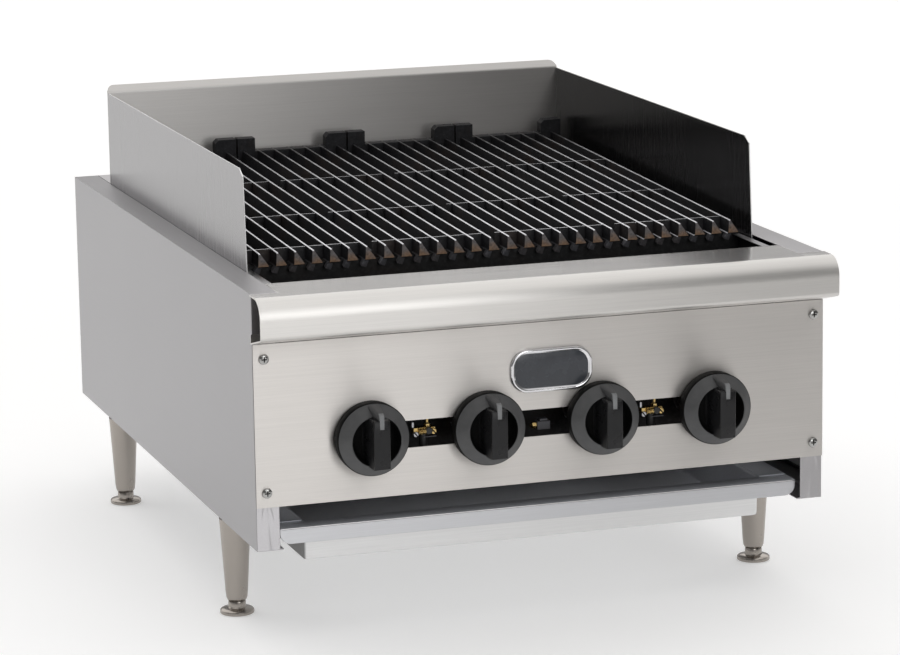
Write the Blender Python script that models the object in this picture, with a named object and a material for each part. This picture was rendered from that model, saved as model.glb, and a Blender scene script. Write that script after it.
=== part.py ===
"""A 24-inch-class countertop gas charbroiler, as separate closed bodies.

Metres, +Z up. The front faces -Y and the feet stand on Z = 0. Every part is parented to an empty on the
floor under the front face of the side panels, so a part's own Y counts back from that face.
"""

import math

import bmesh
import bpy
from mathutils import Matrix, Vector

# Driving dimensions of the body, and the clearance that touching pieces keep
GAP = 0.0003
SHEET = 0.0015
BODY_WIDTH = 0.610
BODY_DEPTH = 0.790
BODY_HEIGHT = 0.261
LEG_HEIGHT = 0.102
DECK_STRIP = 0.0277
POST_WIDTH = 0.024

# The front rail's bullnose
RAIL_WIDTH = 0.613
RAIL_NOSE = 0.0395
RAIL_NOSE_RADIUS = 0.0205
RAIL_LIP_RADIUS = 0.005
RAIL_LIP_DROP = 0.0362
RAIL_HEIGHT = 0.050
RAIL_UNDERSIDE_DEGREES = 14
OPENING_FRONT = 0.050

# The control panel, its knobs and its slot
PANEL_BOTTOM = 0.045
PANEL_TOP = 0.2107
PANEL_PROUD = 0.0018
KNOB_COUNT = 4
KNOB_PITCH = 0.1226
KNOB_ROW_CENTRE = -0.0031
KNOB_HEIGHT = 0.2105
KNOB_RADIUS = 0.0375
KNOB_CLEARANCE = 0.0027
KNOB_REACH = 0.0470
SLOT_HALF_LENGTH = 0.202
SLOT_HEIGHT = 0.028
SLOT_CENTRE = 0.2090
STEM_RADIUS = 0.0040
SCREW_X = 0.294
SCREW_HEIGHTS = (0.162, 0.2977)
SCREW_HOLE_RADIUS = 0.0027

# The splash guard
WING_X = 0.2770
WING_FRONT = 0.1255
WING_FRONT_TOP = 0.4664
WING_BACK_TOP = 0.4688
SPLASH_Y = 0.7238
SPLASH_FOLD = 0.4700
SPLASH_HEM = 0.0077
GUARD_BOTTOM = 0.340

# The firebox and what stands in it
LINER_X = 0.2735
LINER_TOP = 0.359
LINER_BOTTOM = 0.165
LINER_FRONT = 0.0538
LINER_BACK = 0.7205
REST_FRONT = 0.1450
REST_BACK = 0.6900
REST_LEDGE = 0.2610
BURNER_RADIUS = 0.0190
BURNER_END = 0.640
BURNER_DROP = 0.0220

# The grates: four sections of seven blades, tilted up towards the back
GRATE_COUNT = 4
GRATE_PITCH = 0.1340
GRATE_FRONT = 0.1320
GRATE_LENGTH = 0.5720
GRATE_TOP = 0.3780
GRATE_TILT = math.radians(1.9)
BLADE_COUNT = 7
BLADE_PITCH = 0.0190
BLADE_DEPTH = 0.0150
FIRST_BLADE = -0.0584
BLADE_FOOT = 0.0112
RIB_PLACES = (0.025, 0.185, 0.373)
RIB_OVERHANG = 0.0070
LUG_HEIGHT = 0.0150

# The drip tray, its runners, the legs and the gas pipe
TRAY_HALF_WIDTH = 0.2790
TRAY_LIP_Y = 0.0080
TRAY_TOP = 0.1210
TRAY_LIP_HEIGHT = 0.0160
TRAY_WALL = 0.0012
PAN_HALF_WIDTH = 0.2475
PAN_FRONT = 0.0340
PAN_BACK = 0.7520
PAN_BOTTOM = 0.0795
LEG_X = 0.2895
LEG_INSET = 0.145
PIPE_RADIUS = 0.0095
PIPE_HEIGHT = 0.178
PIPE_Y = 0.026
INLET_X = 0.235
INLET_REACH = 0.018

DECK = LEG_HEIGHT + BODY_HEIGHT
HALF_WIDTH = BODY_WIDTH / 2
DECK_INNER = HALF_WIDTH - DECK_STRIP
PANEL_FACE = -PANEL_PROUD
PANEL_BACK = PANEL_FACE + SHEET
FRONT_Y = -(BODY_DEPTH + INLET_REACH - KNOB_REACH) / 2
BURNER_LEDGE = KNOB_HEIGHT - BURNER_DROP
KNOB_XS = [KNOB_ROW_CENTRE + KNOB_PITCH * (i - (KNOB_COUNT - 1) / 2) for i in range(KNOB_COUNT)]
GRATE_XS = [GRATE_PITCH * (i - (GRATE_COUNT - 1) / 2) for i in range(GRATE_COUNT)]

ROUND = 24
FINE_ROUND = 36
SMALL_ROUND = 12


# Shapes: each function gives a new mesh

def mesh_from(bm):
    bmesh.ops.recalc_face_normals(bm, faces=bm.faces)
    mesh = bpy.data.meshes.new("shape")
    bm.to_mesh(mesh)
    bm.free()
    return mesh


def axis_point(axis, along, first, second):
    """A point from its place along an axis and its two places across it, in X, Y, Z order."""
    point = [first, second]
    point.insert("XYZ".index(axis), along)
    return point


def prism(outline, axis, start, end):
    """A closed outline, across an axis, carried along that axis."""
    bm = bmesh.new()
    corners = [bm.verts.new(axis_point(axis, start, a, b)) for a, b in outline]
    face = bm.faces.new(corners)
    moved = bmesh.ops.extrude_face_region(bm, geom=[face])["geom"]
    shift = Vector(axis_point(axis, end - start, 0, 0))
    bmesh.ops.translate(bm, verts=[v for v in moved if isinstance(v, bmesh.types.BMVert)], vec=shift)
    return mesh_from(bm)


def box(low, high):
    corners = [(low[0], low[1]), (high[0], low[1]), (high[0], high[1]), (low[0], high[1])]
    return prism(corners, "Z", low[2], high[2])


def turned(profile, axis, segments=ROUND):
    """A profile of (radius, place along the axis), turned round the axis."""
    bm = bmesh.new()
    across = "Y" if axis == "X" else "X"
    points = []
    for radius, along in profile:
        point = Vector((0, 0, 0))
        point["XYZ".index(axis)] = along
        point["XYZ".index(across)] = radius
        points.append(bm.verts.new(point))
    edges = [bm.edges.new(pair) for pair in zip(points, points[1:])]
    if profile[0][0] > 0:
        edges.append(bm.edges.new((points[-1], points[0])))
    turn = Vector(axis_point(axis, 1, 0, 0))
    bmesh.ops.spin(
        bm, geom=points + edges, axis=turn, cent=(0, 0, 0), angle=math.tau, steps=segments, use_merge=True
    )
    bmesh.ops.remove_doubles(bm, verts=bm.verts, dist=1e-6)
    return mesh_from(bm)


def cylinder(radius, axis, start, end, segments=ROUND):
    return turned([(0, start), (radius, start), (radius, end), (0, end)], axis, segments)


def shifted(mesh, offset):
    mesh.transform(Matrix.Translation(offset))
    return mesh


def beside(*meshes):
    """Several closed bodies that don't touch, in one mesh."""
    bm = bmesh.new()
    for mesh in meshes:
        bm.from_mesh(mesh)
    return mesh_from(bm)


def combined(base, tools, operation):
    for tool in tools:
        pair = [bpy.data.objects.new("shape", mesh) for mesh in (base, tool)]
        for item in pair:
            bpy.context.scene.collection.objects.link(item)
        modifier = pair[0].modifiers.new("combine", "BOOLEAN")
        modifier.operation = operation
        modifier.object = pair[1]
        bpy.context.view_layer.update()
        graph = bpy.context.evaluated_depsgraph_get()
        base = bpy.data.meshes.new_from_object(pair[0].evaluated_get(graph))
        for item in pair:
            bpy.data.objects.remove(item)
    return base


def union(base, *tools):
    return combined(base, tools, "UNION")


def cut(base, *tools):
    return combined(base, tools, "DIFFERENCE")


def arc(centre, radius, start_degrees, end_degrees, steps):
    sweep = end_degrees - start_degrees
    angles = [math.radians(start_degrees + sweep * i / steps) for i in range(steps + 1)]
    return [(centre[0] + radius * math.cos(a), centre[1] + radius * math.sin(a)) for a in angles]


def sheet_outline(path, thickness=SHEET):
    """The outline of a bent sheet: the path, and the same path set off to its left."""
    points = [Vector(p) for p in path]
    ways = [(b - a).normalized() for a, b in zip(points, points[1:])]
    lefts = [Vector((-way.y, way.x)) for way in ways]
    inside = []
    for i, point in enumerate(points):
        before = lefts[max(i - 1, 0)]
        after = lefts[min(i, len(lefts) - 1)]
        middle = (before + after).normalized()
        inside.append(point + middle * (thickness / middle.dot(before)))
    return [tuple(p) for p in points + inside[::-1]]


def rounded_rectangle(half_width, half_height, radius, steps=4, centre=(0, 0)):
    corners = ((1, 1, 0), (-1, 1, 90), (-1, -1, 180), (1, -1, 270))
    outline = []
    for side, up, start in corners:
        middle = (centre[0] + side * (half_width - radius), centre[1] + up * (half_height - radius))
        outline += arc(middle, radius, start, start + 90, steps)
    return outline


# Materials and placing

def finish(name, colour, roughness, metallic):
    material = bpy.data.materials.new(name)
    material.use_nodes = True
    shader = material.node_tree.nodes["Principled BSDF"]
    shader.inputs["Base Color"].default_value = (*colour, 1)
    shader.inputs["Roughness"].default_value = roughness
    shader.inputs["Metallic"].default_value = metallic
    material.diffuse_color = (*colour, 1)
    return material


def add_part(name, mesh, material, place=(0, 0, 0), turn=(0, 0, 0)):
    mesh.name = name
    mesh.materials.clear()
    mesh.materials.append(material)
    mesh.shade_smooth()
    mesh.set_sharp_from_angle(angle=math.radians(32))
    part = bpy.data.objects.new(name, mesh)
    bpy.context.scene.collection.objects.link(part)
    part.parent = datum
    part.location = place
    part.rotation_euler = turn
    return part


# The body

def side_panel(name, side):
    """A shallow pan of sheet: the outer wall, with the deck strip, the post and two more edges folded in."""
    outer = box((-HALF_WIDTH, 0, LEG_HEIGHT), (-DECK_INNER, BODY_DEPTH, DECK))
    floor, ceiling, open_side = LEG_HEIGHT + SHEET, DECK - SHEET, -DECK_INNER + 0.01
    hollow = box((-HALF_WIDTH + SHEET, SHEET, floor), (open_side, BODY_DEPTH - SHEET, ceiling))
    post_edge = box((-HALF_WIDTH + POST_WIDTH, -0.01, floor), (open_side, SHEET + 0.001, ceiling))
    holes = [
        shifted(cylinder(SCREW_HOLE_RADIUS, "Y", -0.01, 0.01, SMALL_ROUND), (-SCREW_X, 0, height))
        for height in SCREW_HEIGHTS
    ]
    mesh = cut(outer, hollow, post_edge, *holes)
    if side > 0:
        mesh.transform(Matrix.Scale(-1, 4, (1, 0, 0)))
        mesh.flip_normals()
    add_part(name, mesh, steel)


def back_panel():
    """The rear wall and the deck behind the splash guard, one bent sheet."""
    path = [(SPLASH_Y + SHEET + GAP, DECK), (BODY_DEPTH, DECK), (BODY_DEPTH, LEG_HEIGHT)]
    width = DECK_INNER - GAP
    wall = prism(sheet_outline(path, -SHEET), "X", -width, width)
    inlet_hole = cylinder(PIPE_RADIUS + 0.004, "Y", BODY_DEPTH - 0.02, BODY_DEPTH + 0.02)
    add_part("back_panel", cut(wall, shifted(inlet_hole, (INLET_X, 0, PIPE_HEIGHT))), steel)


def front_rail():
    """A bullnose of bent sheet that carries the front of the deck; its two ends are open."""
    front, back, hem = -RAIL_NOSE, -GAP, 0.010
    nose_centre = (front + RAIL_NOSE_RADIUS, DECK - RAIL_NOSE_RADIUS)
    lip_centre = (front + RAIL_LIP_RADIUS, DECK - RAIL_LIP_DROP)
    foot = DECK - RAIL_HEIGHT
    path = [(OPENING_FRONT, DECK - hem), (OPENING_FRONT, DECK)]
    path += arc(nose_centre, RAIL_NOSE_RADIUS, 90, 180, 8)
    path += arc(lip_centre, RAIL_LIP_RADIUS, 180, 270 - RAIL_UNDERSIDE_DEGREES, 3)
    path += [(back, foot), (back, foot + hem)]
    rail = prism(sheet_outline(path), "X", -RAIL_WIDTH / 2, RAIL_WIDTH / 2)
    strips = [
        box((low, back, foot + hem), (high, OPENING_FRONT + 0.01, DECK + 0.01))
        for low, high in ((-0.4, -DECK_INNER + GAP), (DECK_INNER - GAP, 0.4))
    ]
    add_part("front_rail", cut(rail, *strips), bright_steel)


def control_panel():
    bottom = LEG_HEIGHT + PANEL_BOTTOM
    top = LEG_HEIGHT + PANEL_TOP
    plate = box((-HALF_WIDTH, PANEL_FACE, bottom), (HALF_WIDTH, PANEL_BACK, top))
    slot = prism(
        rounded_rectangle(SLOT_HALF_LENGTH, SLOT_HEIGHT / 2, 0.009, 3, (KNOB_ROW_CENTRE, SLOT_CENTRE)),
        "Y", -0.01, 0.01,
    )
    holes = [
        shifted(cylinder(SCREW_HOLE_RADIUS, "Y", -0.01, 0.01, SMALL_ROUND), (x, 0, z))
        for x in (-SCREW_X, SCREW_X)
        for z in SCREW_HEIGHTS
    ]
    add_part("control_panel", cut(plate, slot, *holes), bright_steel)


def panel_brace():
    """The angle behind the control panel's lower edge."""
    low = LEG_HEIGHT + PANEL_BOTTOM + 0.0025
    high = low + 0.017
    path = [(PANEL_BACK + GAP, low), (PANEL_BACK + GAP, high), (0.022, high)]
    width = HALF_WIDTH - POST_WIDTH - GAP
    add_part("panel_brace", prism(sheet_outline(path, -SHEET), "X", -width, width), dull_steel)


def panel_screws():
    """Pan-head screws with a cross recess, through the panel into the posts."""
    head_radius, head_height, shank = 0.0052, 0.0030, 0.0120
    seat = PANEL_FACE - GAP
    dome = [(head_radius * math.cos(a), seat - 0.0010 - (head_height - 0.0010) * math.sin(a))
            for a in (math.radians(20 * i) for i in range(5))]
    profile = [(0, shank), (0.0022, shank), (0.0022, seat), (head_radius, seat), *dome]
    profile.append((0, seat - head_height))
    arms = ((0.0028, 0.0006), (0.0006, 0.0028))
    recess = [box((-a, -0.02, -b), (a, seat - head_height + 0.0016, b)) for a, b in arms]
    screw = cut(turned(profile, "Y", 20), *recess)
    corners = [(side, level) for side in (-1, 1) for level in (0, 1)]
    for side, level in corners:
        name = f"panel_screw_{'left' if side < 0 else 'right'}_{'upper' if level else 'lower'}"
        add_part(name, screw.copy(), bright_steel, (side * SCREW_X, 0, SCREW_HEIGHTS[level]))


def badge_plate():
    """A plain rounded nameplate blank: a raised rim round a flat field."""
    centre = (0.006, 0.2636)
    back = PANEL_FACE - GAP
    plate = prism(rounded_rectangle(0.044, 0.0225, 0.019, 6), "Y", back - 0.0040, back)
    field = prism(rounded_rectangle(0.0395, 0.0180, 0.0145, 6), "Y", back - 0.0100, back - 0.0022)
    add_part("badge_plate", cut(plate, field), chrome, (centre[0], 0, centre[1]))


# The splash guard

def splash_wing(name, side):
    """One side wall of the guard: its front edge leans back a little and its upper front corner is cut off."""
    chamfer_run, chamfer_drop, lean = 0.0125, 0.0068, 0.0088
    outline = [
        (WING_FRONT - lean, GUARD_BOTTOM),
        (SPLASH_Y - GAP, GUARD_BOTTOM),
        (SPLASH_Y - GAP, WING_BACK_TOP),
        (WING_FRONT + chamfer_run, WING_FRONT_TOP),
        (WING_FRONT, WING_FRONT_TOP - chamfer_drop),
    ]
    outer = side * WING_X
    add_part(name, prism(outline, "X", outer - side * SHEET, outer), steel)


def splash_back():
    """The back wall of the guard, its top edge bent back and its two top corners rounded off."""
    bend, corner = 0.0040, 0.0085
    turn = bend / math.tan(math.radians(67.5))
    path = [(SPLASH_Y, GUARD_BOTTOM)]
    path += [(SPLASH_Y + bend - y, z) for y, z in arc((0, SPLASH_FOLD - turn), bend, 0, 45, 3)]
    path += [(SPLASH_Y + SPLASH_HEM, SPLASH_FOLD + SPLASH_HEM)]
    wall = prism(sheet_outline(path, -SHEET), "X", -WING_X, WING_X)
    top = SPLASH_FOLD + SPLASH_HEM
    corners = []
    for s in (-1, 1):
        rounding = [(s * x, z) for x, z in arc((WING_X - corner, top - corner), corner, 0, 90, 5)]
        past = WING_X + 0.01
        outside = [(s * (WING_X - corner), top + 0.01), (s * past, top + 0.01), (s * past, top - corner)]
        corners.append(prism(rounding + outside, "Y", SPLASH_Y - 0.01, SPLASH_Y + 0.05))
    add_part("splash_back", cut(wall, *corners), steel)


# The firebox

def firebox_side(name, side):
    """A side liner: a wall with its lower edge folded in."""
    inner = LINER_X - SHEET
    fold = side * (inner - 0.012)
    path = [(side * LINER_X, LINER_TOP), (side * LINER_X, LINER_BOTTOM), (fold, LINER_BOTTOM)]
    outline = sheet_outline(path, SHEET if side < 0 else -SHEET)
    add_part(name, prism(outline, "Y", LINER_FRONT - 0.0003, LINER_BACK + GAP), dark_steel)


def firebox_front():
    """The front liner, with a round hole for each burner's mouth."""
    width = LINER_X - SHEET - GAP
    path = [(LINER_FRONT, DECK - 0.018), (LINER_FRONT, LINER_BOTTOM + SHEET + GAP)]
    wall = prism(sheet_outline(path), "X", -width, width)
    mouths = [
        shifted(cylinder(BURNER_RADIUS + 0.0015, "Y", 0, 0.1), (x, 0, KNOB_HEIGHT)) for x in KNOB_XS
    ]
    add_part("firebox_front", cut(wall, *mouths), dark_steel)


def firebox_back():
    """The back liner, folded in below to make the ledge that the burners' tails rest on."""
    width = LINER_X - SHEET - GAP
    ledge = BURNER_LEDGE - SHEET
    path = [(LINER_BACK, LINER_TOP), (LINER_BACK, ledge), (LINER_BACK - 0.032, ledge)]
    add_part("firebox_back", prism(sheet_outline(path, -SHEET), "X", -width, width), dark_steel)


def grate_rest(name, y, way, top):
    """A bar across the firebox: its top edge carries the grates and its ledge the radiants' ends."""
    thickness = 0.003
    path = [(y, top), (y, REST_LEDGE - thickness), (y + way * 0.020, REST_LEDGE - thickness)]
    width = LINER_X - SHEET - GAP
    add_part(name, prism(sheet_outline(path, way * thickness), "X", -width, width), dark_steel)


def radiants():
    """Cast deflectors, one over each burner: an upturned V that lies between the two rests."""
    half, edge, foot, apex = 0.054, 0.006, REST_LEDGE + GAP, REST_LEDGE + 0.044
    roof = apex - 0.0075
    top = foot + edge
    slope = [(-half, foot), (-half, top), (-0.006, apex), (0.006, apex), (half, top), (half, foot)]
    inside = [(half - edge, foot), (0.004, roof), (-0.004, roof), (-half + edge, foot)]
    start, end = REST_FRONT + 0.0035, REST_BACK - 0.0035
    shape = prism(slope + inside, "Y", start, end)
    for i, x in enumerate(KNOB_XS):
        add_part(f"radiant_{i + 1}", shape.copy(), cast_iron, (x, 0, 0))


def burners():
    """Straight cast burners: a flared mouth, a throat, a tube and a flat tail that rests on the back ledge."""
    mouth, throat, wall, inner_end = 0.0465, 0.0110, 0.0035, BURNER_END - 0.004
    profile = [
        (0, inner_end), (BURNER_RADIUS - wall, inner_end), (BURNER_RADIUS - wall, 0.120), (throat, 0.088),
        (throat, mouth + 0.006), (0.0165, mouth), (0.0190, mouth), (0.0190, mouth + 0.018), (0.0150, 0.088),
        (BURNER_RADIUS, 0.120), (BURNER_RADIUS, BURNER_END), (0, BURNER_END),
    ]
    tail_foot = BURNER_LEDGE + GAP - KNOB_HEIGHT
    tail = box((-0.010, BURNER_END - 0.030, tail_foot), (0.010, LINER_BACK - 0.008, -0.010))
    shape = union(turned(profile, "Y", 20), tail)
    for i, x in enumerate(KNOB_XS):
        add_part(f"burner_{i + 1}", shape.copy(), cast_iron, (x, 0, KNOB_HEIGHT))


def grates():
    """Cast sections of tapered blades, joined by cross ribs and a rear rail with two upright lugs."""
    blade = [(-0.0012, 0), (0.0012, 0), (BLADE_FOOT, -BLADE_DEPTH), (-0.0016, -BLADE_DEPTH)]
    xs = [FIRST_BLADE + BLADE_PITCH * i for i in range(BLADE_COUNT)]
    blades = beside(*[shifted(prism(blade, "Y", 0, GRATE_LENGTH), (x, 0, 0)) for x in xs])
    left, right = xs[0] - RIB_OVERHANG, xs[-1] + BLADE_FOOT
    ribs = [
        box((left, y - 0.0016, 0.0004 - BLADE_DEPTH), (xs[-1], y + 0.0016, -0.0006)) for y in RIB_PLACES
    ]
    rail_top, rail_foot, chamfer = -0.0004, 0.0006 - BLADE_DEPTH, 0.004
    lug_left, lug_right = left + 0.021, right - 0.025
    rear = [
        (left, rail_foot), (right, rail_foot), (right, LUG_HEIGHT), (lug_right + chamfer, LUG_HEIGHT),
        (lug_right, LUG_HEIGHT - chamfer), (lug_right, rail_top), (lug_left, rail_top), (lug_left, LUG_HEIGHT),
        (left, LUG_HEIGHT),
    ]
    bars = beside(*ribs, prism(rear, "Y", GRATE_LENGTH - 0.016, GRATE_LENGTH - 0.002))
    shape = union(blades, bars)
    for i, x in enumerate(GRATE_XS):
        add_part(f"grate_{i + 1}", shape.copy(), cast_iron, (x, GRATE_FRONT, GRATE_TOP), (GRATE_TILT, 0, 0))


# Gas train

def knobs():
    """A deep round skirt with a pocketed centre, one upright grip bar and the pointer's ridge above it."""
    back = PANEL_FACE - KNOB_CLEARANCE
    rim, pocket_rim, pocket_radius, floor = -0.0178, -0.0290, 0.0262, -0.0135
    skirt = [
        (0, back), (KNOB_RADIUS - 0.001, back), (KNOB_RADIUS, back - 0.001), (KNOB_RADIUS, rim + 0.001),
        (KNOB_RADIUS - 0.001, rim), (pocket_radius + 0.001, pocket_rim), (pocket_radius, pocket_rim),
        (pocket_radius - 0.002, floor), (0, floor),
    ]
    half_bar, half_ridge, front = 0.0086, 0.0045, -KNOB_REACH
    bar = [
        (-0.010, -0.0268), (front + 0.002, -0.0268), (front, -0.0250), (front, 0.0240),
        (front + 0.002, 0.0256), (-0.010, 0.0256),
    ]
    ridge = [
        (-0.010, 0.0200), (front + 0.0025, 0.0200), (front + 0.0030, 0.0312), (-0.0380, 0.0326),
        (-0.0300, 0.0342), (-0.0200, 0.0360), (-0.010, 0.0360),
    ]
    grip = [prism(bar, "X", -half_bar, half_bar), prism(ridge, "X", -half_ridge, half_ridge)]
    shape = union(turned(skirt, "Y", FINE_ROUND), *grip)
    shape = cut(shape, cylinder(STEM_RADIUS + GAP, "Y", 0.01, -0.0310, SMALL_ROUND))
    stem = cylinder(STEM_RADIUS, "Y", -0.0305, 0.0120, SMALL_ROUND)
    for i, x in enumerate(KNOB_XS):
        add_part(f"knob_{i + 1}", shape.copy(), black_plastic, (x, 0, KNOB_HEIGHT))
        add_part(f"valve_stem_{i + 1}", stem.copy(), chrome, (x, 0, KNOB_HEIGHT))


def gas_valves():
    """A valve body with a collar for its stem, a jet at the back and a neck down to the manifold."""
    bore = STEM_RADIUS + GAP
    collar = turned(
        [(0, 0.0125), (bore, 0.0125), (bore, 0.0040), (0.0085, 0.0040), (0.0085, 0.0180), (0, 0.0180)], "Y", 16
    )
    body = box((-0.0120, 0.0145, -0.0115), (0.0120, 0.0380, 0.0115))
    jet = cylinder(0.0055, "Y", 0.0300, 0.0530, SMALL_ROUND)
    neck_foot = PIPE_HEIGHT + PIPE_RADIUS + GAP - KNOB_HEIGHT
    neck = shifted(cylinder(0.0060, "Z", neck_foot, 0, SMALL_ROUND), (0, PIPE_Y, 0))
    shape = union(body, collar, jet, neck)
    for i, x in enumerate(KNOB_XS):
        add_part(f"gas_valve_{i + 1}", shape.copy(), brass, (x, 0, KNOB_HEIGHT))


def pilot_valves():
    """A small brass block with its adjusting screw in front, its outlet above and its neck below."""
    height = 0.2085
    body = box((-0.0110, 0.0080, -0.0048), (0.0110, 0.0200, 0.0048))
    screw = shifted(cylinder(0.0036, "Y", 0.0045, 0.0090, SMALL_ROUND), (0.0068, 0, 0))
    outlet = shifted(cylinder(0.0030, "Z", 0, 0.0130, SMALL_ROUND), (0.0020, 0.0140, 0))
    neck_foot = PIPE_HEIGHT + PIPE_RADIUS - 0.0030 - height
    neck = shifted(cylinder(0.0045, "Z", neck_foot, 0, SMALL_ROUND), (0, 0.0140, 0))
    shape = union(body, screw, outlet, neck)
    for i, pair in enumerate(((0, 1), (2, 3))):
        x = (KNOB_XS[pair[0]] + KNOB_XS[pair[1]]) / 2
        add_part(f"pilot_valve_{i + 1}", shape.copy(), brass, (x, 0, height))


def gas_manifold():
    """A straight pipe across the front with a cap on its left end."""
    cap, cap_end, end = 0.0120, 0.248, 0.266
    profile = [(0, -end), (cap, -end), (cap, -cap_end), (PIPE_RADIUS, -cap_end), (PIPE_RADIUS, end), (0, end)]
    add_part("gas_manifold", turned(profile, "X", 20), pipe_steel, (0, PIPE_Y, PIPE_HEIGHT))


def supply_pipe():
    """From the manifold's right end back beside the firebox, then out through the back panel."""
    bend, run = 0.018, 0.2885
    start, jog, end = 0.2665, 0.748, BODY_DEPTH + INLET_REACH
    route = [(start, PIPE_Y)] + arc((run - bend, PIPE_Y + bend), bend, -90, 0, 6)
    route += arc((run - bend, jog - bend), bend, 0, 90, 6)
    route += arc((INLET_X + bend, jog + bend), bend, 270, 180, 6) + [(INLET_X, end)]
    curve = bpy.data.curves.new("supply_pipe", "CURVE")
    curve.dimensions = "3D"
    curve.bevel_depth = PIPE_RADIUS
    curve.bevel_resolution = 4
    curve.use_fill_caps = True
    spline = curve.splines.new("POLY")
    spline.points.add(len(route) - 1)
    for point, (x, y) in zip(spline.points, route):
        point.co = (x, y, PIPE_HEIGHT, 1)
    curve.materials.append(pipe_steel)
    pipe = bpy.data.objects.new("supply_pipe", curve)
    bpy.context.scene.collection.objects.link(pipe)
    pipe.parent = datum


# The drip tray, its runners and the legs

def drip_tray():
    """A deep pan hung from a wide flange, with a front lip to pull it by."""
    flange = box((-TRAY_HALF_WIDTH, TRAY_LIP_Y, TRAY_TOP - TRAY_WALL), (TRAY_HALF_WIDTH, 0.764, TRAY_TOP))
    pan = box((-PAN_HALF_WIDTH, PAN_FRONT, PAN_BOTTOM), (PAN_HALF_WIDTH, PAN_BACK, TRAY_TOP - TRAY_WALL / 2))
    radius, foot = 0.011, TRAY_TOP - TRAY_LIP_HEIGHT
    lip = [(TRAY_HALF_WIDTH, TRAY_TOP - TRAY_WALL / 2), (-TRAY_HALF_WIDTH, TRAY_TOP - TRAY_WALL / 2)]
    lip += arc((-TRAY_HALF_WIDTH + radius, foot + radius), radius, 180, 270, 4)
    lip += arc((TRAY_HALF_WIDTH - radius, foot + radius), radius, 270, 360, 4)
    front = prism(lip, "Y", TRAY_LIP_Y, TRAY_LIP_Y + TRAY_WALL)
    inside = PAN_HALF_WIDTH - TRAY_WALL
    hollow = box(
        (-inside, PAN_FRONT + TRAY_WALL, PAN_BOTTOM + TRAY_WALL),
        (inside, PAN_BACK - TRAY_WALL, TRAY_TOP + 0.01),
    )
    mesh = cut(union(flange, pan, front), hollow)
    add_part("drip_tray", shifted(mesh, (0, -TRAY_LIP_Y, -TRAY_TOP)), steel, (0, TRAY_LIP_Y, TRAY_TOP))


def tray_rail(name, side):
    """A runner fixed to the side panel: the tray's flange slides on its flat top."""
    top = TRAY_TOP - TRAY_WALL - GAP
    outer, inner = HALF_WIDTH - SHEET - GAP, 0.2560
    foot, lip = LEG_HEIGHT + SHEET + 0.001, top - 0.008
    path = [(side * outer, foot), (side * outer, top), (side * inner, top), (side * inner, lip)]
    outline = sheet_outline(path, side * SHEET)
    add_part(name, prism(outline, "Y", 0.0125, BODY_DEPTH - SHEET - 0.005), dull_steel)


def legs_and_feet():
    """Tapered tubes with a screwed foot: a stud, a neck and a round pad."""
    top, shoulder, bottom = LEG_HEIGHT - GAP, 0.0190, 0.0142
    bore = 0.0055
    leg = turned(
        [(0, 0.078), (bore, 0.078), (bore, bottom), (0.0096, bottom), (0.0112, shoulder), (0.0165, top),
         (0, top)],
        "Z", ROUND,
    )
    stud, neck, pad = bore - 0.0004, 0.0093, 0.0180
    foot = turned(
        [(0, 0), (pad - 0.001, 0), (pad, 0.001), (pad, 0.0045), (pad - 0.002, 0.0062), (neck, 0.0070),
         (neck, bottom - GAP), (stud, bottom - GAP), (stud, 0.066), (0, 0.066)],
        "Z", ROUND,
    )
    for corner, x, y in (
        ("front_left", -LEG_X, LEG_INSET),
        ("front_right", LEG_X, LEG_INSET),
        ("back_left", -LEG_X, BODY_DEPTH - LEG_INSET),
        ("back_right", LEG_X, BODY_DEPTH - LEG_INSET),
    ):
        add_part(f"leg_{corner}", leg.copy(), nickel, (x, y, 0))
        add_part(f"foot_{corner}", foot.copy(), nickel, (x, y, 0))


for item in list(bpy.data.objects):
    bpy.data.objects.remove(item)

datum = bpy.data.objects.new("front_face_datum", None)
bpy.context.scene.collection.objects.link(datum)
datum.location = (0, FRONT_Y, 0)

steel = finish("brushed_steel", (0.60, 0.60, 0.62), 0.32, 1.0)
bright_steel = finish("bright_brushed_steel", (0.72, 0.71, 0.69), 0.28, 1.0)
dull_steel = finish("plain_steel", (0.45, 0.45, 0.46), 0.45, 1.0)
dark_steel = finish("heated_steel", (0.12, 0.115, 0.11), 0.55, 1.0)
chrome = finish("chrome", (0.85, 0.85, 0.86), 0.08, 1.0)
nickel = finish("satin_nickel", (0.55, 0.51, 0.46), 0.25, 1.0)
cast_iron = finish("cast_iron", (0.035, 0.034, 0.035), 0.60, 0.6)
black_plastic = finish("black_plastic", (0.035, 0.036, 0.038), 0.35, 0.0)
brass = finish("brass", (0.72, 0.53, 0.24), 0.30, 1.0)
pipe_steel = finish("black_pipe", (0.05, 0.05, 0.05), 0.50, 0.8)

side_panel("side_panel_left", -1)
side_panel("side_panel_right", 1)
back_panel()
front_rail()
control_panel()
panel_brace()
panel_screws()
badge_plate()
splash_wing("splash_wing_left", -1)
splash_wing("splash_wing_right", 1)
splash_back()
firebox_side("firebox_left", -1)
firebox_side("firebox_right", 1)
firebox_front()
firebox_back()
grate_rest("grate_rest_front", REST_FRONT, 1, GRATE_TOP - BLADE_DEPTH - 0.0004)
grate_rest("grate_rest_back", REST_BACK, -1, GRATE_TOP - BLADE_DEPTH + 0.0175)
radiants()
burners()
grates()
knobs()
gas_valves()
pilot_valves()
gas_manifold()
supply_pipe()
drip_tray()
tray_rail("tray_rail_left", -1)
tray_rail("tray_rail_right", 1)
legs_and_feet()
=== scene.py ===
"""Looks for the countertop gas charbroiler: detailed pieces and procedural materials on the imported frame.

Metres, +Z up, front towards -Y. Most pieces are drawn in a frame whose Y counts back from the front face of
the side panels, and are placed at FRONT.
"""

import math
import random

import bmesh
import bpy
from mathutils import Matrix, Vector


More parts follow.
